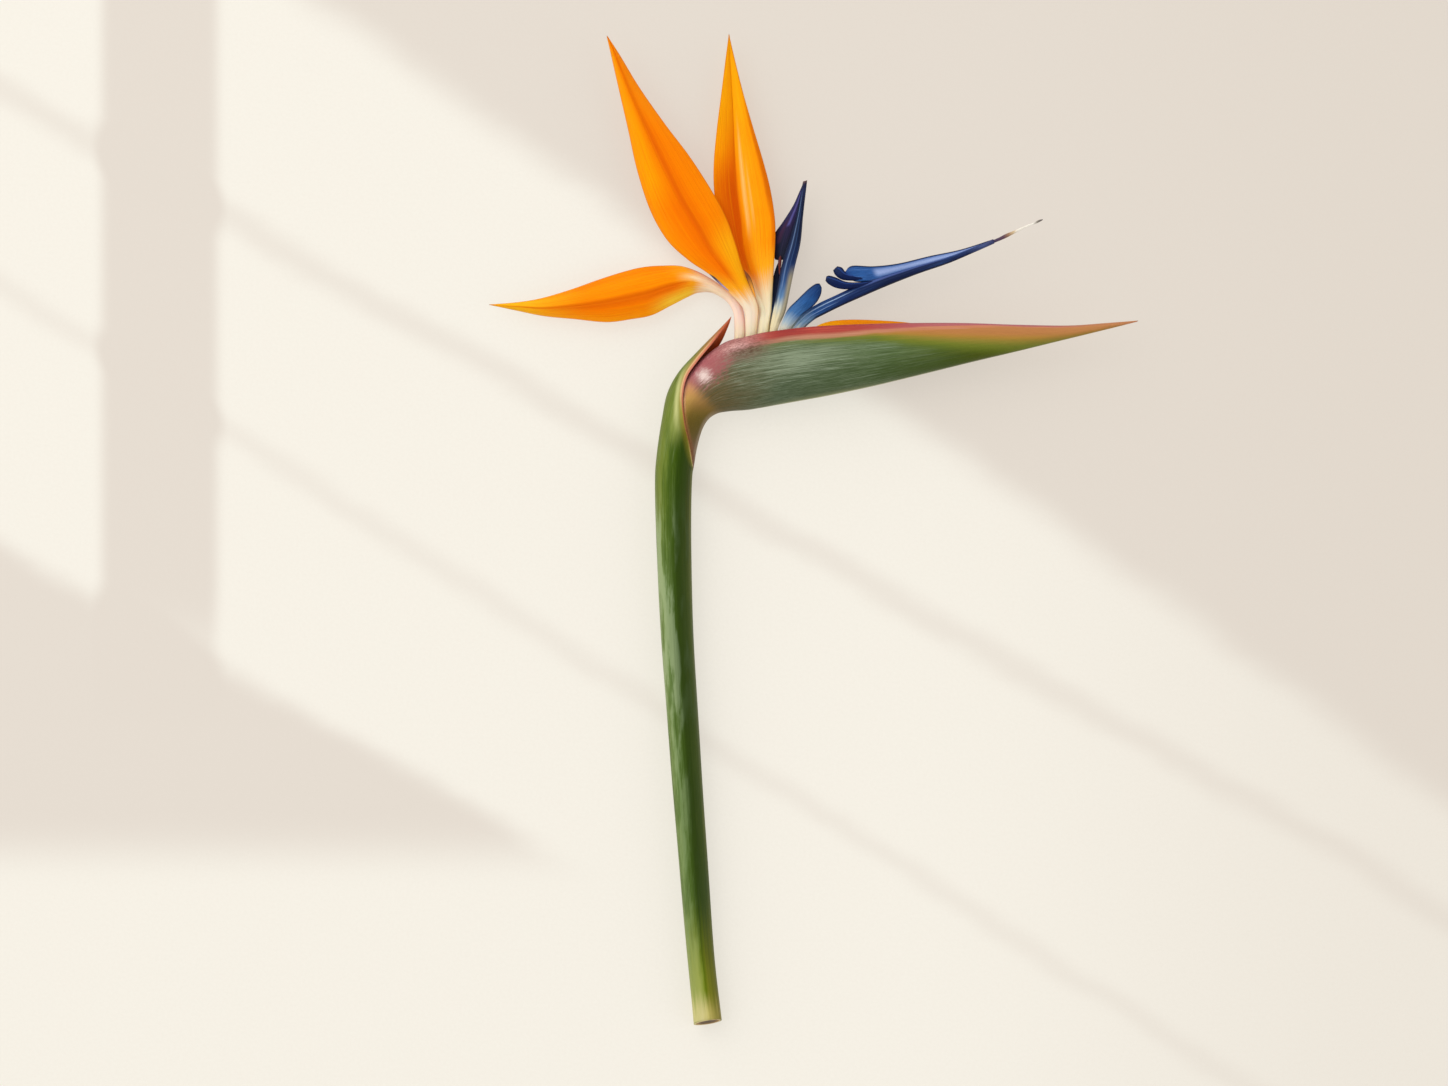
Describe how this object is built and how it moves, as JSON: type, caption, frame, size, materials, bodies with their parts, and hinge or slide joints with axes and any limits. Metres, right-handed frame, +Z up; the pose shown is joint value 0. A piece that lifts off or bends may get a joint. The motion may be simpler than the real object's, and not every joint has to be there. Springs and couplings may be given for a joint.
{
  "type": "bird of paradise flower",
  "caption": "Cut flower lying down: round stem, beaked boat-shaped spathe, pointed orange sepals and blue arrow-shaped tongues.",
  "frame": {"origin": "middle of the lying flower's box, on the surface that it lies on", "axes": "+Y up the stem towards the sepals, +X along the spathe towards its beak, +Z up from the surface"},
  "size_m": [0.2336, 0.3584, 0.0189],
  "materials": {
    "stem_green": "satin waxy skin",
    "spathe_green": "satin with a dull bloom",
    "petal_cream": "satin",
    "sepal_orange": "satin",
    "petal_blue": "satin",
    "style_white": "dull"
  },
  "bodies": {
    "root": {"stem": "stem_green", "spathe": "spathe_green", "floret_base_older": "petal_cream", "floret_base_younger": "petal_cream", "sepal_drooping": "sepal_orange", "sepal_tall_left": "sepal_orange", "sepal_tall_right": "sepal_orange", "sepal_folded": "sepal_orange", "hood_petal_older": "petal_blue", "hood_petal_younger": "petal_blue", "tongue_upright": "petal_blue", "tongue_forward": "petal_blue", "style_forward": "style_white"}
  },
  "joints": []
}
